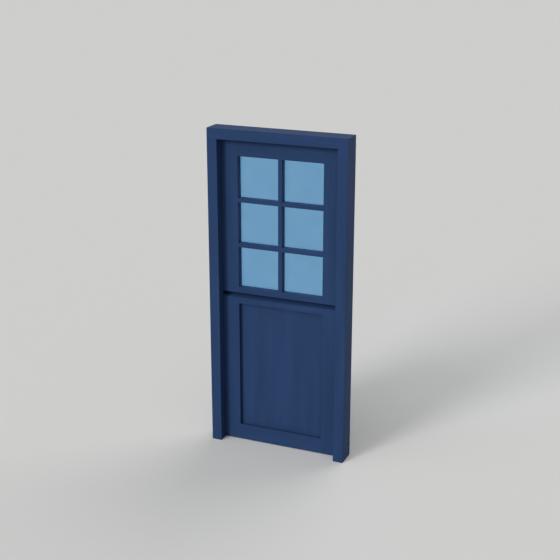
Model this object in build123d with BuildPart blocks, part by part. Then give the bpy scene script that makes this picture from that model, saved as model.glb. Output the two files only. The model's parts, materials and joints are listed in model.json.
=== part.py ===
import os
from math import atan2, degrees, sqrt

from build123d import *

os.makedirs("parts", exist_ok=True)

# A dutch stable door in its timber frame. All sizes are in millimetres.
# X runs to the right, Y from the outer face inwards and Z up. The origin is at the foot of
# the frame, on its outer face and its centre line.

# Frame
frame_width = 924.0
frame_height = 2100.0
frame_face = 67.0
stop_depth = 64.0
stop_lap = 15.0
seal_space = 3.0
leaf_gap = 3.0
floor_gap = 5.0
head_tenon_length = 34.0
head_tenon_thickness = 30.0
head_tenon_shoulder = 10.0
fixing_radius = 5.0
fixing_spacing = 600.0
low_fixing_height = 90.0
high_fixing_drop = 110.0

# Leaves
leaf_thickness = 68.0
stile_width = 122.0
upper_top_rail_height = 122.0
upper_bottom_rail_height = 38.5
lower_top_rail_height = 59.5
lower_bottom_rail_height = 104.0
lower_leaf_top = 1020.5
weathering_drop = 22.0
meeting_gap = 13.0
lip_thickness = 15.0
lip_gap = 4.0
lead_bevel = 3.0
drip_width = 5.0
drip_depth = 5.0
drip_setback = 8.0
tenon_thickness = 20.0
tenon_length = 70.0
tenon_setback = 10.0
tenon_height_share = 0.55
mortise_end_gap = 1.0

# Glazing of the upper leaf
pane_columns = 2
pane_rows = 3
bar_width = 27.0
bar_tenon_length = 14.0
bar_tenon_thickness = 9.0
glass_recess = 36.0
glass_thickness = 6.0
glass_edge_gap = 2.0
glazing_rebate = 9.0
bead_depth = 15.0
bead_splay = 6.0
mitre_gap = 0.2
mitre_angle = 45

# Panel of the lower leaf
panel_recess = 25.5
panel_thickness = 17.0
panel_groove = 12.0
panel_play = 2.0

# Weather seals
seal_width = 9.0
seal_inset = 1.0
seal_stem = 3.0
seal_stem_length = 7.0
seal_clearance = 0.3
seal_end_gap = 2.0
kerf_end_gap = 1.0

# Butt hinges
hinge_height = 100.0
hinge_end_distance = 150.0
hinge_flap_thickness = 3.0
hinge_flap_width = 36.0
knuckle_radius = 6.0
knuckle_count = 5
knuckle_gap = 0.3
knuckle_standoff = 0.5
pin_radius = 3.0
pin_clearance = 0.05
pin_head_radius = 5.0
pin_head_height = 3.5
pin_head_chamfer = 1.5
pin_tip = 1.5
screw_hole_radius = 2.3
screw_head_radius = 4.2
hinge_screw_height_shares = (0.14, 0.5, 0.86)
hinge_screw_depth_shares = (0.4, 0.68, 0.4)

# Barrel bolts
bolt_plate_length = 100.0
bolt_plate_width = 34.0
bolt_plate_thickness = 2.5
bolt_plate_corner = 4.0
bolt_edge_distance = 6.0
bolt_screw_end_distance = 7.0
bolt_screw_side_distance = 5.0
bolt_rod_radius = 5.0
bolt_rod_clearance = 0.05
bolt_rod_lift = 0.4
bolt_rod_chamfer = 1.0
bolt_throw = 28.0
bolt_tail_play = 1.5
guide_length = 10.0
guide_wall = 2.5
front_guide_distance = 12.0
rear_guide_distance = 20.0
knob_play = 3.5
knob_neck_radius = 3.5
knob_neck_length = 4.0
knob_radius = 7.0
knob_flare = 3.0
knob_rim = 4.0
knob_crown = 2.5
knob_crown_radius = 4.0
keep_length = 14.0
keep_width = 46.0
keep_gap = 3.0
keep_clearance = 0.5
keep_screw_distance = 6.5
upper_bolt_height = 1540.0
lower_bolt_height = 780.0

# One overrun for cuts that pass through a face
overrun = 1.0

# Places worked out from the sizes
half_width = frame_width / 2
stop_x = half_width - frame_face
rebate_x = stop_x + stop_lap
leaf_x = rebate_x - leaf_gap
inner_x = leaf_x - stile_width
leaf_front = stop_depth + seal_space
leaf_back = leaf_front + leaf_thickness
leaf_middle = leaf_front + leaf_thickness / 2
stop_z = frame_height - frame_face
rebate_z = stop_z + stop_lap
leaf_top = rebate_z - leaf_gap
upper_bottom = lower_leaf_top + meeting_gap
lip_bottom = lower_leaf_top + lip_gap
lip_front = leaf_back - lip_thickness
lip_middle = leaf_back - lip_thickness / 2
weathered_front = lower_leaf_top - weathering_drop
kerf_depth = seal_stem_length + kerf_end_gap
seal_offset = seal_inset + seal_width / 2

glazing_low = upper_bottom + upper_bottom_rail_height
glazing_high = leaf_top - upper_top_rail_height
pane_width = (2 * inner_x - (pane_columns - 1) * bar_width) / pane_columns
pane_height = (glazing_high - glazing_low - (pane_rows - 1) * bar_width) / pane_rows
bar_web = bar_width - 2 * glazing_rebate
glass_front = leaf_front + glass_recess
glass_back = glass_front + glass_thickness
upper_tenon_y = (leaf_front + tenon_setback, leaf_front + tenon_setback + tenon_thickness)
lower_tenon_y = (leaf_middle - tenon_thickness / 2, leaf_middle + tenon_thickness / 2)

panel_low = floor_gap + lower_bottom_rail_height
panel_high = lower_leaf_top - lower_top_rail_height
panel_front = leaf_front + panel_recess
panel_back = panel_front + panel_thickness

pin_x = -rebate_x + leaf_gap / 2
pin_y = leaf_back + knuckle_radius + knuckle_standoff
lower_hinges = (floor_gap + hinge_end_distance, lower_leaf_top - hinge_end_distance - hinge_height)
upper_hinges = (upper_bottom + hinge_end_distance, leaf_top - hinge_end_distance - hinge_height)
hinge_places = lower_hinges + upper_hinges
flap_front = leaf_back - hinge_flap_width

low_fixings = (low_fixing_height, low_fixing_height + fixing_spacing)
high_fixings = (
    frame_height - high_fixing_drop - fixing_spacing,
    frame_height - high_fixing_drop,
)

# Sides of the door, as seen from outside: the hinges are on the left
hinge_side = -1
lock_side = 1


def span(middle, width):
    return (middle - width / 2, middle + width / 2)


def block(x_span, y_span, z_span, mode=Mode.SUBTRACT):
    spans = (x_span, y_span, z_span)
    with Locations(tuple(sum(each) / 2 for each in spans)):
        Box(*[max(each) - min(each) for each in spans], mode=mode)


def save(piece, name):
    piece.part.label = name
    export_step(piece.part, f"parts/{name}.step")


# Frame: the head runs over both jambs, and each jamb is tenoned up into it
head_tenon_x = (rebate_x + head_tenon_shoulder, half_width - head_tenon_shoulder)
head_tenon_y = span(leaf_middle, head_tenon_thickness)
stop_kerf_y = (stop_depth - kerf_depth, stop_depth)

with BuildPart() as frame_head:
    with BuildSketch(Plane.YZ.offset(-half_width)):
        with BuildLine():
            Polyline(
                (0, stop_z),
                (stop_depth, stop_z),
                (stop_depth, rebate_z),
                (leaf_back, rebate_z),
                (leaf_back, frame_height),
                (0, frame_height),
                close=True,
            )
        make_face()
    extrude(amount=frame_width)
    block((-rebate_x, rebate_x), stop_kerf_y, span(stop_z + seal_offset, seal_stem))
    for side in (hinge_side, lock_side):
        block(
            [side * x for x in head_tenon_x],
            head_tenon_y,
            (rebate_z, rebate_z + head_tenon_length + mortise_end_gap),
        )
save(frame_head, "frame_head")


def jamb(side, hinge_recesses):
    back_x = (side * rebate_x, side * half_width)
    with BuildPart() as piece:
        with BuildSketch():
            with BuildLine():
                Polyline(
                    (side * half_width, 0),
                    (side * stop_x, 0),
                    (side * stop_x, stop_depth),
                    (side * rebate_x, stop_depth),
                    (side * rebate_x, leaf_back),
                    (side * half_width, leaf_back),
                    close=True,
                )
            make_face()
        extrude(amount=stop_z)
        block(back_x, (stop_depth, leaf_back), (stop_z, rebate_z), Mode.ADD)
        block(
            [side * x for x in head_tenon_x],
            head_tenon_y,
            (rebate_z, rebate_z + head_tenon_length),
            Mode.ADD,
        )
        block(span(side * (stop_x + seal_offset), seal_stem), stop_kerf_y, (0, stop_z))
        for place in hinge_recesses:
            block(
                (side * rebate_x, side * (rebate_x + hinge_flap_thickness)),
                (flap_front, leaf_back),
                (place, place + hinge_height),
            )
        for height in low_fixings + high_fixings:
            with Locations(Plane((side * rebate_x, leaf_middle, height), z_dir=(-side, 0, 0))):
                Hole(fixing_radius)
    return piece


save(jamb(hinge_side, hinge_places), "hinge_jamb")
save(jamb(lock_side, ()), "lock_jamb")


# Frame seals: a stem in the kerf and a soft round nose towards the leaf
def seal_outline(middle, base, nose):
    reach = 1 if nose > base else -1
    stem_end = base - reach * seal_stem_length
    half_stem = seal_stem / 2
    half_nose = seal_width / 2
    Polyline(
        (middle - half_nose, base),
        (middle - half_stem, base),
        (middle - half_stem, stem_end),
        (middle + half_stem, stem_end),
        (middle + half_stem, base),
        (middle + half_nose, base),
    )
    ThreePointArc((middle + half_nose, base), (middle, nose), (middle - half_nose, base))


def jamb_seal(side):
    with BuildPart() as piece:
        with BuildSketch():
            with BuildLine():
                seal_outline(side * (stop_x + seal_offset), stop_depth, leaf_front - seal_clearance)
            make_face()
        extrude(amount=stop_z)
    return piece


save(jamb_seal(hinge_side), "hinge_jamb_seal")
save(jamb_seal(lock_side), "lock_jamb_seal")

# This plane looks along X with its own x axis up, so that the seal lies the same way round
along_x = Plane((0, 0, 0), x_dir=(0, 0, 1), z_dir=(-1, 0, 0))

with BuildPart() as head_seal:
    with BuildSketch(along_x):
        with BuildLine():
            seal_outline(stop_z + seal_offset, stop_depth, leaf_front - seal_clearance)
        make_face()
    extrude(amount=leaf_x, both=True)
save(head_seal, "head_seal")


# Stiles and rails of the upper leaf
def tenon_span(low, high):
    return span((low + high) / 2, (high - low) * tenon_height_share)


upper_top_tenon_z = tenon_span(glazing_high, leaf_top)
upper_bottom_tenon_z = tenon_span(upper_bottom, glazing_low)
lower_top_tenon_z = tenon_span(panel_high + panel_groove, weathered_front)
lower_bottom_tenon_z = tenon_span(floor_gap, panel_low - panel_groove)
mortise_x = (inner_x, inner_x + tenon_length + mortise_end_gap)
tenon_x = (inner_x, inner_x + tenon_length)

cross_bar_places = [
    glazing_low + row * (pane_height + bar_width) - bar_width / 2 for row in range(1, pane_rows)
]
upright_bar_places = [
    -inner_x + column * (pane_width + bar_width) - bar_width / 2
    for column in range(1, pane_columns)
]
drip_y = (leaf_front + drip_setback, leaf_front + drip_setback + drip_width)
drip_z = (upper_bottom, upper_bottom + drip_depth)
lip_kerf_y = span(lip_middle, seal_stem)
lip_kerf_z = (lip_bottom, lip_bottom + kerf_depth)


def stile_outline(side, lead):
    Polyline(
        (side * inner_x, leaf_front),
        (side * (leaf_x - lead), leaf_front),
        (side * leaf_x, leaf_back),
        (side * inner_x, leaf_back),
        close=True,
    )


def upper_stile(side, lead, hinge_recesses):
    stile_x = (side * inner_x, side * leaf_x)
    with BuildPart() as piece:
        with BuildSketch(Plane.XY.offset(lip_bottom)):
            with BuildLine():
                stile_outline(side, lead)
            make_face()
        extrude(amount=leaf_top - lip_bottom)
        block(stile_x, (leaf_front, lip_front), (lip_bottom, upper_bottom))
        block(stile_x, drip_y, drip_z)
        block(stile_x, lip_kerf_y, lip_kerf_z)
        block(
            (side * inner_x, side * (inner_x + glazing_rebate)),
            (glass_front, leaf_back),
            (glazing_low - glazing_rebate, glazing_high + glazing_rebate),
        )
        for tenon_z in (upper_top_tenon_z, upper_bottom_tenon_z):
            block([side * x for x in mortise_x], upper_tenon_y, tenon_z)
        for place in cross_bar_places:
            block(
                (side * inner_x, side * (inner_x + bar_tenon_length + mortise_end_gap)),
                upper_tenon_y,
                span(place, bar_tenon_thickness),
            )
        for place in hinge_recesses:
            block(
                (side * leaf_x, side * (leaf_x - hinge_flap_thickness)),
                (flap_front, leaf_back),
                (place, place + hinge_height),
            )
    return piece


save(upper_stile(hinge_side, 0, upper_hinges), "upper_hinge_stile")
save(upper_stile(lock_side, lead_bevel, ()), "upper_lock_stile")

with BuildPart() as upper_top_rail:
    with BuildSketch(Plane.YZ.offset(-inner_x)):
        with BuildLine():
            Polyline(
                (leaf_front, glazing_high),
                (glass_front, glazing_high),
                (glass_front, glazing_high + glazing_rebate),
                (leaf_back, glazing_high + glazing_rebate),
                (leaf_back, leaf_top),
                (leaf_front, leaf_top),
                close=True,
            )
        make_face()
    extrude(amount=2 * inner_x)
    for side in (hinge_side, lock_side):
        block([side * x for x in tenon_x], upper_tenon_y, upper_top_tenon_z, Mode.ADD)
    for place in upright_bar_places:
        block(
            span(place, bar_tenon_thickness),
            upper_tenon_y,
            (glazing_high, glazing_high + bar_tenon_length + mortise_end_gap),
        )
save(upper_top_rail, "upper_top_rail")

with BuildPart() as upper_bottom_rail:
    with BuildSketch(Plane.YZ.offset(-inner_x)):
        with BuildLine():
            Polyline(
                (leaf_front, upper_bottom),
                (lip_front, upper_bottom),
                (lip_front, lip_bottom),
                (leaf_back, lip_bottom),
                (leaf_back, glazing_low - glazing_rebate),
                (glass_front, glazing_low - glazing_rebate),
                (glass_front, glazing_low),
                (leaf_front, glazing_low),
                close=True,
            )
        make_face()
    extrude(amount=2 * inner_x)
    for side in (hinge_side, lock_side):
        block([side * x for x in tenon_x], upper_tenon_y, upper_bottom_tenon_z, Mode.ADD)
    block((-inner_x, inner_x), drip_y, drip_z)
    block((-inner_x, inner_x), lip_kerf_y, lip_kerf_z)
    for place in upright_bar_places:
        block(
            span(place, bar_tenon_thickness),
            upper_tenon_y,
            (glazing_low - bar_tenon_length - mortise_end_gap, glazing_low),
        )
save(upper_bottom_rail, "upper_bottom_rail")

with BuildPart() as meeting_seal:
    with BuildSketch(Plane.YZ.offset(-leaf_x + seal_end_gap)):
        with BuildLine():
            seal_outline(lip_middle, lip_bottom, lower_leaf_top + seal_clearance)
        make_face()
    extrude(amount=2 * (leaf_x - seal_end_gap))
save(meeting_seal, "meeting_seal")


# Glazing bars: rebated for the glass, and halved into each other where they cross
def bar_outline(place, swapped):
    points = (
        (place - bar_width / 2, leaf_front),
        (place + bar_width / 2, leaf_front),
        (place + bar_width / 2, glass_front),
        (place + bar_web / 2, glass_front),
        (place + bar_web / 2, leaf_back),
        (place - bar_web / 2, leaf_back),
        (place - bar_web / 2, glass_front),
        (place - bar_width / 2, glass_front),
    )
    if swapped:
        points = [(y, x) for x, y in points]
    Polyline(*points, close=True)


web_y = (glass_front, leaf_back)
moulding_y = (leaf_front, glass_front)


def upright_bar(place):
    bar_x = span(place, bar_width)
    web_x = span(place, bar_web)
    tenon_width = span(place, bar_tenon_thickness)
    with BuildPart() as piece:
        with BuildSketch(Plane.XY.offset(glazing_low)):
            with BuildLine():
                bar_outline(place, False)
            make_face()
        extrude(amount=glazing_high - glazing_low)
        block(web_x, web_y, (glazing_low - glazing_rebate, glazing_low), Mode.ADD)
        block(web_x, web_y, (glazing_high, glazing_high + glazing_rebate), Mode.ADD)
        block(tenon_width, upper_tenon_y, (glazing_low - bar_tenon_length, glazing_low), Mode.ADD)
        block(tenon_width, upper_tenon_y, (glazing_high, glazing_high + bar_tenon_length), Mode.ADD)
        for crossing in cross_bar_places:
            block(bar_x, web_y, span(crossing, bar_web))
    return piece


def cross_bar(place):
    bar_z = span(place, bar_width)
    web_z = span(place, bar_web)
    with BuildPart() as piece:
        with BuildSketch(Plane.YZ.offset(-inner_x)):
            with BuildLine():
                bar_outline(place, True)
            make_face()
        extrude(amount=2 * inner_x)
        for side in (hinge_side, lock_side):
            block(
                (side * inner_x, side * (inner_x + glazing_rebate)),
                web_y,
                web_z,
                Mode.ADD,
            )
            block(
                (side * inner_x, side * (inner_x + bar_tenon_length)),
                upper_tenon_y,
                span(place, bar_tenon_thickness),
                Mode.ADD,
            )
        for crossing in upright_bar_places:
            block(span(crossing, bar_width), moulding_y, bar_z)
    return piece


save(upright_bar(upright_bar_places[0]), "upright_bar")
save(cross_bar(cross_bar_places[0]), "lower_cross_bar")
save(cross_bar(cross_bar_places[1]), "upper_cross_bar")


# Panes and the mitred, splayed beads that hold them from the inside
def pane(middle_x, middle_z):
    lap = glazing_rebate - glass_edge_gap
    with BuildPart() as piece:
        with BuildSketch(Plane.XZ.offset(-glass_front)):
            with Locations((middle_x, middle_z)):
                Rectangle(pane_width + 2 * lap, pane_height + 2 * lap)
        extrude(amount=-glass_thickness)
    return piece


def pane_beads(middle_x, middle_z):
    bead_back = glass_back + bead_depth
    splay_angle = degrees(atan2(bead_splay, bead_depth))
    mitre_length = 2 * glazing_rebate * sqrt(2)
    with BuildPart() as piece:
        with BuildSketch(Plane.XZ.offset(-glass_back)):
            with Locations((middle_x, middle_z)):
                Rectangle(pane_width + 2 * glazing_rebate, pane_height + 2 * glazing_rebate)
        extrude(amount=-bead_depth)
        with BuildSketch(Plane.XZ.offset(-bead_back)):
            with Locations((middle_x, middle_z)):
                Rectangle(pane_width + 2 * bead_splay, pane_height + 2 * bead_splay)
        extrude(amount=bead_depth, taper=splay_angle, mode=Mode.SUBTRACT)
        for side in (-1, 1):
            for end in (-1, 1):
                corner = (
                    middle_x + side * (pane_width + glazing_rebate) / 2,
                    (glass_back + bead_back) / 2,
                    middle_z + end * (pane_height + glazing_rebate) / 2,
                )
                with Locations(Location(corner, (0, -mitre_angle * side * end, 0))):
                    Box(mitre_length, bead_depth + overrun, mitre_gap, mode=Mode.SUBTRACT)
    return piece


pane_number = 0
for row in reversed(range(pane_rows)):
    for column in range(pane_columns):
        pane_number += 1
        pane_x = -inner_x + pane_width / 2 + column * (pane_width + bar_width)
        pane_z = glazing_low + pane_height / 2 + row * (pane_height + bar_width)
        save(pane(pane_x, pane_z), f"pane_{pane_number}")
        save(pane_beads(pane_x, pane_z), f"pane_{pane_number}_beads")

# Stiles, rails and panel of the lower leaf, whose top slopes to the front to shed rain
groove_y = (panel_front, panel_back)
floor_kerf_y = span(leaf_middle, seal_stem)
floor_kerf_z = (floor_gap, floor_gap + kerf_depth)


def lower_stile(side, lead, hinge_recesses):
    stile_x = (side * inner_x, side * leaf_x)
    with BuildPart() as piece:
        with BuildSketch(Plane.XY.offset(floor_gap)):
            with BuildLine():
                stile_outline(side, lead)
            make_face()
        extrude(amount=lower_leaf_top - floor_gap)
        with BuildSketch(Plane.YZ.offset(side * inner_x)):
            with BuildLine():
                Polyline(
                    (leaf_front, weathered_front),
                    (lip_front, lower_leaf_top),
                    (leaf_front, lower_leaf_top),
                    close=True,
                )
            make_face()
        extrude(amount=side * stile_width, mode=Mode.SUBTRACT)
        block(
            (side * inner_x, side * (inner_x + panel_groove)),
            groove_y,
            (panel_low - panel_groove, panel_high + panel_groove),
        )
        for tenon_z in (lower_top_tenon_z, lower_bottom_tenon_z):
            block([side * x for x in mortise_x], lower_tenon_y, tenon_z)
        block(stile_x, floor_kerf_y, floor_kerf_z)
        for place in hinge_recesses:
            block(
                (side * leaf_x, side * (leaf_x - hinge_flap_thickness)),
                (flap_front, leaf_back),
                (place, place + hinge_height),
            )
    return piece


save(lower_stile(hinge_side, 0, lower_hinges), "lower_hinge_stile")
save(lower_stile(lock_side, lead_bevel, ()), "lower_lock_stile")


def grooved_rail(edge, outer, drop, tenon_z):
    inwards = 1 if outer > edge else -1
    groove_end = edge + inwards * panel_groove
    slope_start = [(lip_front, outer)] if drop > 0 else []
    with BuildPart() as piece:
        with BuildSketch(Plane.YZ.offset(-inner_x)):
            with BuildLine():
                Polyline(
                    (leaf_front, edge),
                    (panel_front, edge),
                    (panel_front, groove_end),
                    (panel_back, groove_end),
                    (panel_back, edge),
                    (leaf_back, edge),
                    (leaf_back, outer),
                    *slope_start,
                    (leaf_front, outer - drop),
                    close=True,
                )
            make_face()
        extrude(amount=2 * inner_x)
        for side in (hinge_side, lock_side):
            block([side * x for x in tenon_x], lower_tenon_y, tenon_z, Mode.ADD)
        if inwards < 0:
            block((-inner_x, inner_x), floor_kerf_y, floor_kerf_z)
    return piece


save(
    grooved_rail(panel_high, lower_leaf_top, weathering_drop, lower_top_tenon_z),
    "lower_top_rail",
)
save(grooved_rail(panel_low, floor_gap, 0, lower_bottom_tenon_z), "lower_bottom_rail")

with BuildPart() as lower_panel:
    panel_lap = panel_groove - panel_play
    with BuildSketch(Plane.XZ.offset(-panel_front)):
        with Locations((0, (panel_low + panel_high) / 2)):
            Rectangle(2 * (inner_x + panel_lap), panel_high - panel_low + 2 * panel_lap)
    extrude(amount=-panel_thickness)
save(lower_panel, "lower_panel")

with BuildPart() as bottom_seal:
    with BuildSketch(Plane.YZ.offset(-leaf_x + seal_end_gap)):
        with BuildLine():
            seal_outline(leaf_middle, floor_gap, seal_clearance)
        make_face()
    extrude(amount=2 * (leaf_x - seal_end_gap))
save(bottom_seal, "bottom_seal")


# Butt hinges: two flaps let into the wood, their knuckles laced together on one pin
knuckle_pitch = hinge_height / knuckle_count
knuckle_length = knuckle_pitch - knuckle_gap


def hinge_flap(place, inner_face, outward, knuckles):
    flap_x = span(inner_face + outward * hinge_flap_thickness / 2, hinge_flap_thickness)
    with BuildPart() as piece:
        block(flap_x, (flap_front, leaf_back), (place, place + hinge_height), Mode.ADD)
        for knuckle in knuckles:
            low = place + knuckle * knuckle_pitch + knuckle_gap / 2
            with BuildSketch(Plane.XY.offset(low)):
                with Locations((sum(flap_x) / 2, (leaf_back + pin_y) / 2)):
                    Rectangle(hinge_flap_thickness, pin_y - leaf_back)
                with Locations((pin_x, pin_y)):
                    Circle(knuckle_radius)
                    Circle(pin_radius + pin_clearance, mode=Mode.SUBTRACT)
            extrude(amount=knuckle_length)
        for height_share, depth_share in zip(hinge_screw_height_shares, hinge_screw_depth_shares):
            hole = (
                inner_face,
                leaf_back - depth_share * hinge_flap_width,
                place + height_share * hinge_height,
            )
            with Locations(Plane(hole, z_dir=(-outward, 0, 0))):
                CounterSinkHole(screw_hole_radius, screw_head_radius)
    return piece


def hinge_pin(place):
    top = hinge_height
    with BuildPart() as piece:
        with BuildSketch(Plane((pin_x, pin_y, place), x_dir=(1, 0, 0), z_dir=(0, -1, 0))):
            with BuildLine():
                Polyline(
                    (0, -pin_tip),
                    (pin_radius - pin_tip, -pin_tip),
                    (pin_radius, 0),
                    (pin_radius, top),
                    (pin_head_radius, top),
                    (pin_head_radius, top + pin_head_height - pin_head_chamfer),
                    (pin_head_radius - pin_head_chamfer, top + pin_head_height),
                    (0, top + pin_head_height),
                    close=True,
                )
            make_face()
        revolve(axis=Axis((pin_x, pin_y, place), (0, 0, 1)))
    return piece


frame_knuckles = range(0, knuckle_count, 2)
leaf_knuckles = range(1, knuckle_count, 2)
for number, place in enumerate(hinge_places, start=1):
    save(hinge_flap(place, -rebate_x, -1, frame_knuckles), f"hinge_{number}_frame_flap")
    save(hinge_flap(place, -leaf_x, 1, leaf_knuckles), f"hinge_{number}_leaf_flap")
    save(hinge_pin(place), f"hinge_{number}_pin")


# Barrel bolts. Each has a plane of its own on the inner face of its leaf, with x along the
# bolt's travel, y across the plate and z away from the wood.
half_plate = bolt_plate_length / 2
rod_height = bolt_plate_thickness + bolt_rod_lift + bolt_rod_radius
guide_radius = bolt_rod_radius + bolt_rod_clearance + guide_wall
front_guide = half_plate - front_guide_distance
rear_guide = -half_plate + rear_guide_distance
knob_place = rear_guide + guide_length / 2 + knob_play + knob_neck_radius
rod_tail = rear_guide - guide_length / 2 - bolt_throw - bolt_tail_play
jamb_keep_place = half_plate + bolt_edge_distance + leaf_gap + keep_gap + keep_length / 2
leaf_keep_place = half_plate + bolt_edge_distance + lip_gap + keep_gap + keep_length / 2


def across(plane, place):
    return Plane(plane.from_local_coords((place, 0, 0)), x_dir=plane.y_dir, z_dir=plane.x_dir)


def bolt_plate(plane):
    screw_x = bolt_plate_length - 2 * bolt_screw_end_distance
    screw_y = bolt_plate_width - 2 * bolt_screw_side_distance
    with BuildPart() as piece:
        with BuildSketch(plane):
            RectangleRounded(bolt_plate_length, bolt_plate_width, bolt_plate_corner)
        extrude(amount=bolt_plate_thickness)
        for guide in (front_guide, rear_guide):
            with BuildSketch(across(plane, guide - guide_length / 2)):
                with Locations((0, rod_height / 2)):
                    Rectangle(2 * guide_radius, rod_height)
                with Locations((0, rod_height)):
                    Circle(guide_radius)
                    Circle(bolt_rod_radius + bolt_rod_clearance, mode=Mode.SUBTRACT)
            extrude(amount=guide_length)
        with Locations(plane.offset(bolt_plate_thickness)):
            with GridLocations(screw_x, screw_y, 2, 2):
                CounterSinkHole(screw_hole_radius, screw_head_radius)
    return piece


def bolt_rod(plane):
    with BuildPart() as piece:
        with BuildSketch(across(plane, rod_tail)):
            with Locations((0, rod_height)):
                Circle(bolt_rod_radius)
        extrude(amount=half_plate - rod_tail)
        chamfer(piece.edges().filter_by(GeomType.CIRCLE), bolt_rod_chamfer)
        foot = plane.from_local_coords((knob_place, 0, 0))
        neck_top = rod_height + bolt_rod_radius + knob_neck_length
        rim_top = neck_top + knob_flare + knob_rim
        with BuildSketch(Plane(foot, x_dir=plane.x_dir, z_dir=-plane.y_dir)):
            with BuildLine():
                Polyline(
                    (0, rod_height),
                    (knob_neck_radius, rod_height),
                    (knob_neck_radius, neck_top),
                    (knob_radius, neck_top + knob_flare),
                    (knob_radius, rim_top),
                    (knob_crown_radius, rim_top + knob_crown),
                    (0, rim_top + knob_crown),
                    close=True,
                )
            make_face()
        revolve(axis=Axis(foot, plane.z_dir))
    return piece


def bolt_keep(plane, place):
    screw_y = keep_width - 2 * keep_screw_distance
    with BuildPart() as piece:
        with BuildSketch(plane):
            with Locations((place, 0)):
                RectangleRounded(keep_length, keep_width, bolt_plate_corner)
        extrude(amount=bolt_plate_thickness)
        with BuildSketch(across(plane, place - guide_length / 2)):
            with Locations((0, rod_height / 2)):
                Rectangle(2 * guide_radius, rod_height)
            with Locations((0, rod_height)):
                Circle(guide_radius)
        extrude(amount=guide_length)
        with BuildSketch(across(plane, place - keep_length / 2)):
            with Locations((0, rod_height)):
                Circle(bolt_rod_radius + keep_clearance)
        extrude(amount=keep_length, mode=Mode.SUBTRACT)
        with Locations(plane.offset(bolt_plate_thickness)):
            with Locations((place, -screw_y / 2), (place, screw_y / 2)):
                CounterSinkHole(screw_hole_radius, screw_head_radius)
    return piece


bolt_x = leaf_x - bolt_edge_distance - half_plate
coupling_x = leaf_x - stile_width / 2
coupling_z = lip_bottom + bolt_edge_distance + half_plate
upper_bolt = Plane((bolt_x, leaf_back, upper_bolt_height), x_dir=(1, 0, 0), z_dir=(0, 1, 0))
lower_bolt = Plane((bolt_x, leaf_back, lower_bolt_height), x_dir=(1, 0, 0), z_dir=(0, 1, 0))
coupling_bolt = Plane((coupling_x, leaf_back, coupling_z), x_dir=(0, 0, -1), z_dir=(0, 1, 0))

for name, plane, keep_place in (
    ("upper_bolt", upper_bolt, jamb_keep_place),
    ("lower_bolt", lower_bolt, jamb_keep_place),
    ("coupling_bolt", coupling_bolt, leaf_keep_place),
):
    save(bolt_plate(plane), f"{name}_plate")
    save(bolt_rod(plane), f"{name}_rod")
    save(bolt_keep(plane, keep_place), f"{name}_keep")
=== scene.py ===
import json
import math
import bmesh
import bpy
from mathutils import Matrix, Vector
from mathutils.bvhtree import BVHTree

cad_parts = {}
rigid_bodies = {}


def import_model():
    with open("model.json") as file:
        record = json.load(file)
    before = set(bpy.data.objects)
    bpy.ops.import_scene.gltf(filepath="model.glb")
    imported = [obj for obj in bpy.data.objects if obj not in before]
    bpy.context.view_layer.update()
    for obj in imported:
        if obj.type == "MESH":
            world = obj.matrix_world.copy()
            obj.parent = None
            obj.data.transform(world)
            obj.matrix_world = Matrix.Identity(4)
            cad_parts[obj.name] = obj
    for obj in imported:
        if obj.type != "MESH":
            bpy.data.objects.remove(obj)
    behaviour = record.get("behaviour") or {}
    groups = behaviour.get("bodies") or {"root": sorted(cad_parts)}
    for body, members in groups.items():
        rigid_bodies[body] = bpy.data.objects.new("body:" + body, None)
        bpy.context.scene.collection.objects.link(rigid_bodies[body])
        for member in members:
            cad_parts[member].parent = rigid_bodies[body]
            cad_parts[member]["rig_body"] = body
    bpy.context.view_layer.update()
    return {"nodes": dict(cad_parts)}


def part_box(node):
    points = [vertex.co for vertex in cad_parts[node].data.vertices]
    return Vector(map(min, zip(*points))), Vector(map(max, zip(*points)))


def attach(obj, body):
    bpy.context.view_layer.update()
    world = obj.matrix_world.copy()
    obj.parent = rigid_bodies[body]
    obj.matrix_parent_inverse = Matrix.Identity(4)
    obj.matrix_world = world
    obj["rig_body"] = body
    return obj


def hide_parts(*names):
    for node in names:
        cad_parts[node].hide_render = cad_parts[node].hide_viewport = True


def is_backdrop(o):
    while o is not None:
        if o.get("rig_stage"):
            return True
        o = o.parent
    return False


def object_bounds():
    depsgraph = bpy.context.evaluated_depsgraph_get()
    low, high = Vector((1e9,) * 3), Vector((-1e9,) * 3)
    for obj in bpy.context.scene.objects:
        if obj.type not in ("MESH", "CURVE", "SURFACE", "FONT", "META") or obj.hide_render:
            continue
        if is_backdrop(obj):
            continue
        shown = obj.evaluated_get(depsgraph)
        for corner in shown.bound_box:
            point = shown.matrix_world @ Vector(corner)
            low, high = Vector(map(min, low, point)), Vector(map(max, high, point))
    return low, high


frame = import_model()
print("door loaded:", len(frame["nodes"]), "CAD nodes")

scene = bpy.context.scene
scene.view_settings.view_transform = "Standard"
mm = 0.001
noiseRange = (0.3, 0.7)  # nearly all of a noise lies between these


# small helpers

def onlySelect(piece):
    bpy.ops.object.select_all(action="DESELECT")
    piece.select_set(True)
    bpy.context.view_layer.objects.active = piece


def startMaterial(name):
    material = bpy.data.materials.new(name)
    material.use_nodes = True
    nodes = material.node_tree.nodes
    return material, nodes, material.node_tree.links, nodes["Principled BSDF"]


def noiseLayer(nodes, links, layer, run="z"):
    # cells are counted to the metre, and along is their count in the direction of the run
    stretch = [layer["cells"]] * 3
    stretch["xyz".index(run)] = layer.get("along", layer["cells"])
    place = nodes.new("ShaderNodeTexCoord")
    mapping = nodes.new("ShaderNodeMapping")
    mapping.inputs["Scale"].default_value = stretch
    noise = nodes.new("ShaderNodeTexNoise")
    noise.inputs["Scale"].default_value = 1.0
    noise.inputs["Detail"].default_value = layer["detail"]
    links.new(place.outputs["Object"], mapping.inputs["Vector"])
    links.new(mapping.outputs["Vector"], noise.inputs["Vector"])
    return noise.outputs["Fac"]


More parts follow.
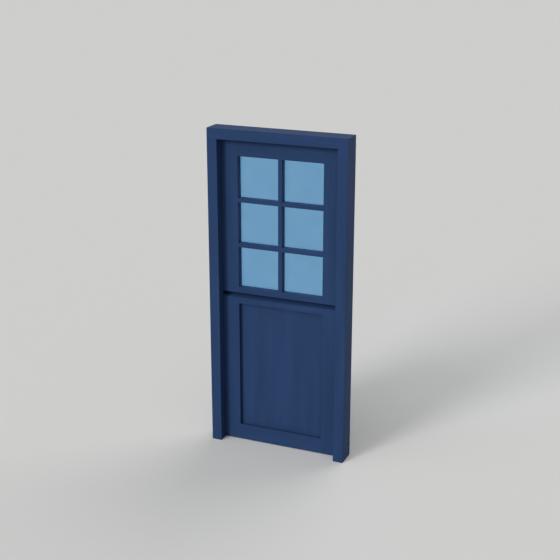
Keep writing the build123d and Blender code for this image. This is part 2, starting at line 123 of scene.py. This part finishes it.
def spread(nodes, links, source, low, high):
    remap = nodes.new("ShaderNodeMapRange")
    remap.inputs["From Min"].default_value = noiseRange[0]
    remap.inputs["From Max"].default_value = noiseRange[1]
    remap.inputs["To Min"].default_value = low
    remap.inputs["To Max"].default_value = high
    links.new(source, remap.inputs["Value"])
    return remap.outputs["Result"]


def tones(nodes, links, source, stops):
    # a stop is a place on the ramp, from 0 to 1, and its colour
    ramp = nodes.new("ShaderNodeValToRGB")
    for middle in stops[1:-1]:
        ramp.color_ramp.elements.new(middle[0])
    for element, (place, colour) in zip(ramp.color_ramp.elements, stops):
        element.position = place
        element.color = (*colour, 1.0)
    links.new(source, ramp.inputs["Fac"])
    return ramp.outputs["Color"]


def relief(nodes, links, height, depth, under=None):
    bump = nodes.new("ShaderNodeBump")
    bump.inputs["Strength"].default_value = 1.0
    bump.inputs["Distance"].default_value = depth
    links.new(height, bump.inputs["Height"])
    if under is not None:
        links.new(under, bump.inputs["Normal"])
    return bump.outputs["Normal"]


# blue paint on timber: the grain tells through, and the brush ran along each member

paint = {
    "tones": [(0.28, (0.0152, 0.0390, 0.1055)), (0.50, (0.0171, 0.0434, 0.1166))],
    "light": (0.74, (0.0199, 0.0489, 0.1293)),
    "rubbed": (0.74, (0.0345, 0.0675, 0.1520)),  # takes the place of light on the arrises
    "grain": {"along": 5.0, "cells": 170.0, "detail": 3.0, "depth": 0.30 * mm},
    "brush": {"along": 14.0, "cells": 900.0, "detail": 2.0, "depth": 0.10 * mm},
    "patch": {"along": 1.6, "cells": 14.0, "detail": 4.0},
    "smooth": 0.57, "rough": 0.71, "specular": 0.10,
}


def paintedTimber(name, run, lightest):
    material, nodes, links, shader = startMaterial(name)
    grain = noiseLayer(nodes, links, paint["grain"], run)
    brush = noiseLayer(nodes, links, paint["brush"], run)
    patch = noiseLayer(nodes, links, paint["patch"], run)
    colour = tones(nodes, links, patch, paint["tones"] + [paint[lightest]])
    links.new(colour, shader.inputs["Base Color"])
    links.new(spread(nodes, links, grain, paint["smooth"], paint["rough"]), shader.inputs["Roughness"])
    shader.inputs["Specular IOR Level"].default_value = paint["specular"]
    ridges = relief(nodes, links, grain, paint["grain"]["depth"])
    strokes = relief(nodes, links, brush, paint["brush"]["depth"], ridges)
    links.new(strokes, shader.inputs["Normal"])
    return material


paintUpright = paintedTimber("bluePaintUpright", "z", "light")
paintAcross = paintedTimber("bluePaintAcross", "x", "light")
arrisUpright = paintedTimber("bluePaintArrisUpright", "z", "rubbed")
arrisAcross = paintedTimber("bluePaintArrisAcross", "x", "rubbed")


# pale blue window glass, with the slight waves of drawn sheet

glass = {
    "tones": [(0.3, (0.205, 0.492, 0.821)), (0.7, (0.221, 0.515, 0.850))],
    "wave": {"cells": 7.0, "detail": 1.0, "depth": 0.12 * mm},
    "roughness": 0.02, "refraction": 1.5,
}


def windowGlass():
    material, nodes, links, shader = startMaterial("paleBlueGlass")
    wave = noiseLayer(nodes, links, glass["wave"])
    links.new(tones(nodes, links, wave, glass["tones"]), shader.inputs["Base Color"])
    links.new(relief(nodes, links, wave, glass["wave"]["depth"]), shader.inputs["Normal"])
    shader.inputs["Roughness"].default_value = glass["roughness"]
    shader.inputs["IOR"].default_value = glass["refraction"]
    shader.inputs["Transmission Weight"].default_value = 1.0
    return material


paleGlass = windowGlass()


# black weather seal

rubber = {
    "tones": [(0.35, (0.012, 0.012, 0.013)), (0.7, (0.028, 0.028, 0.030))],
    "bloom": {"cells": 35.0, "detail": 4.0},
    "grit": {"cells": 700.0, "detail": 2.0, "depth": 0.04 * mm},
    "smooth": 0.55, "rough": 0.75,
}


def sealRubber():
    material, nodes, links, shader = startMaterial("blackSealRubber")
    bloom = noiseLayer(nodes, links, rubber["bloom"])
    grit = noiseLayer(nodes, links, rubber["grit"])
    links.new(tones(nodes, links, bloom, rubber["tones"]), shader.inputs["Base Color"])
    links.new(spread(nodes, links, bloom, rubber["smooth"], rubber["rough"]), shader.inputs["Roughness"])
    links.new(relief(nodes, links, grit, rubber["grit"]["depth"]), shader.inputs["Normal"])
    return material


blackRubber = sealRubber()


# metals: brushed hinge steel, bright bolt steel, black bolt iron

hingeMetal = {
    "tones": [(0.3, (0.50, 0.50, 0.50)), (0.7, (0.60, 0.60, 0.59))],
    "lines": {"along": 60.0, "cells": 1500.0, "detail": 3.0, "depth": 0.012 * mm},
    "cloud": {"cells": 60.0, "detail": 3.0},
    "smooth": 0.26, "rough": 0.42,
}
boltMetal = {
    "tones": [(0.3, (0.52, 0.52, 0.53)), (0.7, (0.62, 0.62, 0.62))],
    "lines": {"along": 40.0, "cells": 1400.0, "detail": 3.0, "depth": 0.004 * mm},
    "cloud": {"cells": 60.0, "detail": 3.0},
    "smooth": 0.22, "rough": 0.34,
}
iron = {
    "tones": [(0.35, (0.010, 0.010, 0.011)), (0.7, (0.022, 0.022, 0.024))],
    "peel": {"cells": 420.0, "detail": 2.0, "depth": 0.05 * mm},
    "cloud": {"cells": 45.0, "detail": 4.0},
    "smooth": 0.28, "rough": 0.44,
}


def brushedMetal(name, metal, run):
    material, nodes, links, shader = startMaterial(name)
    lines = noiseLayer(nodes, links, metal["lines"], run)
    cloud = noiseLayer(nodes, links, metal["cloud"])
    links.new(tones(nodes, links, cloud, metal["tones"]), shader.inputs["Base Color"])
    links.new(spread(nodes, links, lines, metal["smooth"], metal["rough"]), shader.inputs["Roughness"])
    links.new(relief(nodes, links, lines, metal["lines"]["depth"]), shader.inputs["Normal"])
    shader.inputs["Metallic"].default_value = 1.0
    return material


def japannedIron(name):
    material, nodes, links, shader = startMaterial(name)
    peel = noiseLayer(nodes, links, iron["peel"])
    cloud = noiseLayer(nodes, links, iron["cloud"])
    links.new(tones(nodes, links, cloud, iron["tones"]), shader.inputs["Base Color"])
    links.new(spread(nodes, links, cloud, iron["smooth"], iron["rough"]), shader.inputs["Roughness"])
    links.new(relief(nodes, links, peel, iron["peel"]["depth"]), shader.inputs["Normal"])
    return material


hingeSteel = brushedMetal("brushedHingeSteel", hingeMetal, "z")
boltSteelAcross = brushedMetal("drawnBoltSteelAcross", boltMetal, "x")
boltSteelUpright = brushedMetal("drawnBoltSteelUpright", boltMetal, "z")
blackIron = japannedIron("blackJapannedIron")
print("finishes ready:", len(bpy.data.materials))


# timber members: merged copies of the CAD members with their outer arrises eased

upperRails = ("upper_top_rail", "upper_bottom_rail", "lower_cross_bar", "upper_cross_bar")
lowerRails = ("lower_top_rail", "lower_bottom_rail")

# run is the way of the grain, and meets names the members that end against this one
timber = {
    "frame_head": {"run": "x", "arris": 2.0 * mm, "meets": ("hinge_jamb", "lock_jamb"),
                   "rebateEnds": (-410.0 * mm, 410.0 * mm)},
    "hinge_jamb": {"run": "z", "arris": 2.0 * mm},
    "lock_jamb": {"run": "z", "arris": 2.0 * mm},
    "upper_hinge_stile": {"run": "z", "arris": 1.6 * mm, "meets": upperRails},
    "upper_lock_stile": {"run": "z", "arris": 1.6 * mm, "meets": upperRails},
    "upper_top_rail": {"run": "x", "arris": 1.6 * mm, "meets": ("upright_bar",)},
    "upper_bottom_rail": {"run": "x", "arris": 1.6 * mm, "meets": ("upright_bar",)},
    "upright_bar": {"run": "z", "arris": 1.2 * mm, "meets": ("lower_cross_bar", "upper_cross_bar")},
    "lower_cross_bar": {"run": "x", "arris": 1.2 * mm},
    "upper_cross_bar": {"run": "x", "arris": 1.2 * mm},
    "lower_hinge_stile": {"run": "z", "arris": 1.6 * mm, "meets": lowerRails},
    "lower_lock_stile": {"run": "z", "arris": 1.6 * mm, "meets": lowerRails},
    "lower_top_rail": {"run": "x", "arris": 1.6 * mm},
    "lower_bottom_rail": {"run": "x", "arris": 1.6 * mm},
}
for name in sorted(frame["nodes"]):
    if name.endswith("_beads"):
        timber[name] = {"run": "z", "arris": 0.8 * mm}
runPaint = {"x": (paintAcross, arrisAcross), "z": (paintUpright, arrisUpright)}
easing = {
    "rounds": 3,
    "shortest": 12.0 * mm, "flattest": math.radians(50),  # lesser edges are left as they are
    "samples": (0.1, 0.5, 0.9), "probe": 0.9 * mm,  # where along an edge, and how far beside it, to look
    "merge": 0.002 * mm, "flat": math.radians(0.4),
}
sight = Vector((0.137, 0.791, 0.596)).normalized()  # a slant that runs along no face of the door
sightStep = 0.001 * mm

solids = []
for name, node in frame["nodes"].items():
    corners = [v.co.copy() for v in node.data.vertices]
    faces = [tuple(p.vertices) for p in node.data.polygons]
    low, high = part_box(name)
    solids.append((low, high, BVHTree.FromPolygons(corners, faces)))


def insideSolid(point):
    # a line of sight from inside a solid leaves it after an odd number of crossings
    for low, high, tree in solids:
        if any(point[i] < low[i] or point[i] > high[i] for i in range(3)):
            continue
        crossings = 0
        hit = tree.ray_cast(point, sight)[0]
        while hit is not None:
            crossings += 1
            hit = tree.ray_cast(hit + sight * sightStep, sight)[0]
        if crossings % 2:
            return True
    return False


def isOpenArris(edge):
    # an outward corner with nothing built flush against either of its faces
    if len(edge.link_faces) != 2 or edge.calc_length() < easing["shortest"]:
        return False
    if not edge.is_convex or edge.calc_face_angle() < easing["flattest"]:
        return False
    first, second = (face.normal for face in edge.link_faces)
    ends = [v.co for v in edge.verts]
    for share in easing["samples"]:
        place = ends[0].lerp(ends[1], share)
        for under, beyond in ((first, second), (second, first)):
            if insideSolid(place + (beyond - under) * easing["probe"]):
                return False
    return True


def cutWhereOthersMeet(shape):
    # an arris can then stop at a joint, and the seams keep the cuts when flat faces are joined
    run = "xyz".index(shape["run"])
    places = list(shape.get("rebateEnds", ()))
    for neighbour in shape.get("meets", ()):
        places += [corner[run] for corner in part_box(neighbour)]
    normal = Vector((0, 0, 0))
    normal[run] = 1
    for place in places:
        bpy.ops.mesh.select_all(action="SELECT")
        bpy.ops.mesh.bisect(plane_co=normal * place, plane_no=normal)
        bpy.ops.mesh.mark_seam(clear=False)


def easeMember(name, shape):
    source = frame["nodes"][name]
    piece = bpy.data.objects.new(name + "_eased", source.data.copy())
    scene.collection.objects.link(piece)
    piece.data.materials.clear()
    for material in runPaint[shape["run"]]:
        piece.data.materials.append(material)
    onlySelect(piece)
    bpy.ops.mesh.customdata_custom_splitnormals_clear()
    bpy.ops.object.mode_set(mode="EDIT")
    bpy.ops.mesh.select_mode(type="VERT")
    bpy.ops.mesh.select_all(action="SELECT")
    bpy.ops.mesh.remove_doubles(threshold=easing["merge"])
    bpy.ops.mesh.dissolve_limited(angle_limit=easing["flat"])
    cutWhereOthersMeet(shape)
    bpy.ops.mesh.select_all(action="SELECT")
    bpy.ops.mesh.dissolve_limited(angle_limit=easing["flat"], delimit={"SEAM"})
    bpy.ops.mesh.select_all(action="DESELECT")
    bpy.ops.mesh.select_mode(type="EDGE")
    mesh = bmesh.from_edit_mesh(piece.data)
    mesh.normal_update()
    for edge in filter(isOpenArris, mesh.edges):
        edge.select = True
    bmesh.update_edit_mesh(piece.data)
    bpy.ops.mesh.bevel(
        offset=shape["arris"], segments=easing["rounds"], affect="EDGES", clamp_overlap=True,
        material=1,  # the arris paint
    )
    bpy.ops.object.mode_set(mode="OBJECT")
    bpy.ops.object.shade_flat()
    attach(piece, source["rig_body"])
    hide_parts(name)


for name, shape in timber.items():
    easeMember(name, shape)
print("timber eased:", len(timber), "members")


# the CAD pieces that keep their own shape

finishes = {"lower_panel": paintUpright}
for name in frame["nodes"]:
    if name.startswith("pane_") and not name.endswith("_beads"):
        finishes[name] = paleGlass
    elif name.endswith("_seal"):
        finishes[name] = blackRubber
    elif name.endswith(("_flap", "_pin")):
        finishes[name] = hingeSteel
    elif name.endswith(("_plate", "_keep")):
        finishes[name] = blackIron
    elif name.endswith("_rod"):
        finishes[name] = boltSteelUpright if name.startswith("coupling") else boltSteelAcross
for name, material in finishes.items():
    node = frame["nodes"][name]
    if not node.material_slots:
        node.data.materials.append(material)
    for holder in node.material_slots:
        holder.material = material
    if material is paleGlass:
        node.visible_shadow = False
print("CAD pieces finished:", len(finishes))


# countersunk cross-head screws in the holes of the hinges, bolts and keeps

screw = {
    "sides": 28, "head": 4.0 * mm, "shank": 2.15 * mm, "sunk": 0.12 * mm,
    "coneDepth": 2.1 * mm, "length": 2.8 * mm, "smooth": math.radians(30),
    "crossLength": 4.4 * mm, "crossWidth": 1.1 * mm, "crossDepth": 1.3 * mm, "crossTaper": 0.55,
    "turn": 37, "turnEach": 61, "turnLetter": 13,  # degrees, so that the crosses stand every way
}
hingeHoles = {
    "flapGap": 3.0 * mm, "flapDepth": 36.0 * mm,
    "heights": (0.14, 0.5, 0.86), "depths": (0.4, 0.68, 0.4),  # shares of the flap
}
plateHoles = {"thick": 2.5 * mm, "plateEnd": 7.0 * mm, "plateSide": 5.0 * mm, "keepEnd": 6.5 * mm}
downward = -0.9  # a face that looks down has a normal below this


def crossCutter():
    bpy.ops.object.select_all(action="DESELECT")
    arms = []
    for size in ((screw["crossLength"], screw["crossWidth"]), (screw["crossWidth"], screw["crossLength"])):
        bpy.ops.mesh.primitive_cube_add(size=1, location=(0, 0, 0))
        arm = bpy.context.object
        arm.scale = (size[0], size[1], 2 * screw["crossDepth"])
        bpy.ops.object.transform_apply(location=True, rotation=True, scale=True)
        bpy.ops.object.mode_set(mode="EDIT")
        bpy.ops.mesh.select_mode(type="FACE")
        bpy.ops.mesh.select_all(action="DESELECT")
        mesh = bmesh.from_edit_mesh(arm.data)
        for face in mesh.faces:
            if face.normal.z < downward:
                face.select = True
        bmesh.update_edit_mesh(arm.data)
        bpy.ops.transform.resize(value=(screw["crossTaper"], screw["crossTaper"], 1))
        bpy.ops.object.mode_set(mode="OBJECT")
        arms.append(arm)
    return arms


def screwBlank():
    # the head's face is at zero, and the screw points down
    bpy.ops.object.select_all(action="DESELECT")
    bpy.ops.mesh.primitive_circle_add(vertices=screw["sides"], radius=screw["head"], fill_type="NGON")
    blank = bpy.context.object
    bpy.ops.object.mode_set(mode="EDIT")
    bpy.ops.mesh.select_all(action="SELECT")
    thin = screw["shank"] / screw["head"]
    bpy.ops.mesh.extrude_region_move(TRANSFORM_OT_translate={"value": (0, 0, -screw["coneDepth"])})
    bpy.ops.transform.resize(value=(thin, thin, 1))
    bpy.ops.mesh.extrude_region_move(
        TRANSFORM_OT_translate={"value": (0, 0, screw["coneDepth"] - screw["length"])})
    bpy.ops.mesh.select_all(action="SELECT")
    bpy.ops.mesh.normals_make_consistent(inside=False)
    bpy.ops.object.mode_set(mode="OBJECT")
    for arm in crossCutter():
        onlySelect(blank)
        cut = blank.modifiers.new("cross", "BOOLEAN")
        cut.operation = "DIFFERENCE"
        cut.solver = "EXACT"
        cut.object = arm
        bpy.ops.object.modifier_apply(modifier=cut.name)
        bpy.data.objects.remove(arm)
    return blank


def driveScrews(node, blank, places, out, material):
    # out points from the wood to the screw's head
    name = node + "_screws"
    sunk = Vector(out) * -screw["sunk"]
    turned = Vector(out).to_track_quat("Z", "Y").to_matrix().to_4x4()
    bpy.ops.object.select_all(action="DESELECT")
    for number, place in enumerate(places):
        one = bpy.data.objects.new(name, blank.data.copy())
        scene.collection.objects.link(one)
        spin = screw["turn"] + screw["turnEach"] * number + screw["turnLetter"] * len(name)
        spun = Matrix.Rotation(math.radians(spin), 4, "Z")
        one.data.transform(Matrix.Translation(Vector(place) + sunk) @ turned @ spun)
        one.select_set(True)
        bpy.context.view_layer.objects.active = one
    bpy.ops.object.join()
    screws = bpy.context.object
    screws.name = name
    screws.data.materials.clear()
    screws.data.materials.append(material)
    bpy.ops.object.shade_smooth_by_angle(angle=screw["smooth"])
    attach(screws, frame["nodes"][node]["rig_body"])


def hingePlaces(flap, face):
    low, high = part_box(flap)
    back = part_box("hinge_jamb")[1].y
    return [
        (face, back - depth * hingeHoles["flapDepth"], low.z + height * (high.z - low.z))
        for height, depth in zip(hingeHoles["heights"], hingeHoles["depths"])
    ]


def platePlaces(plate):
    # two holes on the middle line of a keep, four near the corners of a plate
    low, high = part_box(plate)
    middle = (low + high) / 2
    half = (high - low) / 2
    keep = plate.endswith("_keep")
    end = plateHoles["keepEnd"] if keep else plateHoles["plateEnd"]
    longways = half.x > half.z
    along = max(half.x, half.z) - end
    across = min(half.x, half.z) - plateHoles["plateSide"]
    places = []
    for a in (-along, along):
        for b in ((0,) if keep else (-across, across)):
            shift = (a, b) if longways else (b, a)
            places.append((middle.x + shift[0], low.y + plateHoles["thick"], middle.z + shift[1]))
    return places


blankScrew = screwBlank()
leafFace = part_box("upper_hinge_stile")[0].x
flaps = sorted(name for name in frame["nodes"] if name.endswith("_flap"))
plates = [name for name in frame["nodes"] if name.endswith(("_plate", "_keep"))]
for flap in flaps:
    onFrame = flap.endswith("_frame_flap")
    face = leafFace - hingeHoles["flapGap"] if onFrame else leafFace
    out = (1, 0, 0) if onFrame else (-1, 0, 0)
    driveScrews(flap, blankScrew, hingePlaces(flap, face), out, hingeSteel)
for plate in plates:
    driveScrews(plate, blankScrew, platePlaces(plate), (0, 1, 0), blackIron)
bpy.data.objects.remove(blankScrew)
print("screw sets driven:", len(flaps) + len(plates))


# stage, light and camera

studio = {
    "floorSize": 160.0, "floor": (0.70, 0.70, 0.69), "floorRoughness": 0.9, "floorSpecular": 0.0,
    "backdrop": (0.62, 0.62, 0.615), "ambient": 0.19, "lampDistance": 6.0,
}

# turn is from straight in front towards the right, and rise is from the floor, in degrees
lamps = {
    "softKey": {"turn": -23.0, "rise": 22.0, "strength": 1.83, "spread": 20.0},
    "topFill": {"turn": -10.0, "rise": 60.0, "strength": 1.0, "spread": 70.0},
    "backFill": {"turn": 160.0, "rise": 34.0, "strength": 1.1, "spread": 60.0},
}

bpy.ops.object.select_all(action="DESELECT")
bpy.ops.mesh.primitive_plane_add(size=studio["floorSize"], location=(0, 0, 0))
floor = bpy.context.object
floor.name = "studioFloor"
floorPaint, _, _, floorShader = startMaterial("paleFloor")
floorShader.inputs["Base Color"].default_value = (*studio["floor"], 1.0)
floorShader.inputs["Roughness"].default_value = studio["floorRoughness"]
floorShader.inputs["Specular IOR Level"].default_value = studio["floorSpecular"]
floor.data.materials.append(floorPaint)
floor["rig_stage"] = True

# the camera, glass and metal see the backdrop's colour, and the plain ambient white lights the door
world = bpy.data.worlds.new("studioWorld")
scene.world = world
world.use_nodes = True
sky = world.node_tree
sky.nodes.clear()
path = sky.nodes.new("ShaderNodeLightPath")
cameraOrGlossy = sky.nodes.new("ShaderNodeMath")
cameraOrGlossy.operation = "MAXIMUM"
seesBackdrop = sky.nodes.new("ShaderNodeMath")
seesBackdrop.operation = "MAXIMUM"
soft = sky.nodes.new("ShaderNodeBackground")
soft.inputs["Color"].default_value = (1.0, 1.0, 1.0, 1.0)
soft.inputs["Strength"].default_value = studio["ambient"]
seen = sky.nodes.new("ShaderNodeBackground")
seen.inputs["Color"].default_value = (*studio["backdrop"], 1.0)
seen.inputs["Strength"].default_value = 1.0
mix = sky.nodes.new("ShaderNodeMixShader")
sink = sky.nodes.new("ShaderNodeOutputWorld")
sky.links.new(path.outputs["Is Camera Ray"], cameraOrGlossy.inputs[0])
sky.links.new(path.outputs["Is Glossy Ray"], cameraOrGlossy.inputs[1])
sky.links.new(cameraOrGlossy.outputs["Value"], seesBackdrop.inputs[0])
sky.links.new(path.outputs["Is Transmission Ray"], seesBackdrop.inputs[1])
sky.links.new(seesBackdrop.outputs["Value"], mix.inputs["Fac"])
sky.links.new(soft.outputs["Background"], mix.inputs[1])
sky.links.new(seen.outputs["Background"], mix.inputs[2])
sky.links.new(mix.outputs["Shader"], sink.inputs["Surface"])

for name, lamp in lamps.items():
    turn = math.radians(lamp["turn"])
    rise = math.radians(lamp["rise"])
    towards = Vector((math.sin(turn) * math.cos(rise), -math.cos(turn) * math.cos(rise), math.sin(rise)))
    glow = bpy.data.lights.new(name, "SUN")
    glow.energy = lamp["strength"]
    glow.angle = math.radians(lamp["spread"])
    holder = bpy.data.objects.new(name, glow)
    holder.rotation_mode = "QUATERNION"
    holder.rotation_quaternion = towards.to_track_quat("Z", "Y")
    holder.location = towards * studio["lampDistance"]
    scene.collection.objects.link(holder)
print("stage lit:", len(lamps), "lamps")

view = {"place": (2.6086, -6.1132, 3.3535), "aim": (0.0, 0.0670, 1.1554), "width": 28.0}
cameraData = bpy.data.cameras.new("photoCamera")
cameraData.sensor_fit = "HORIZONTAL"
cameraData.angle = math.radians(view["width"])
camera = bpy.data.objects.new("photoCamera", cameraData)
camera.location = view["place"]
camera.rotation_mode = "QUATERNION"
camera.rotation_quaternion = (Vector(view["aim"]) - Vector(view["place"])).to_track_quat("-Z", "Y")
scene.collection.objects.link(camera)
scene.camera = camera

low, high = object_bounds()
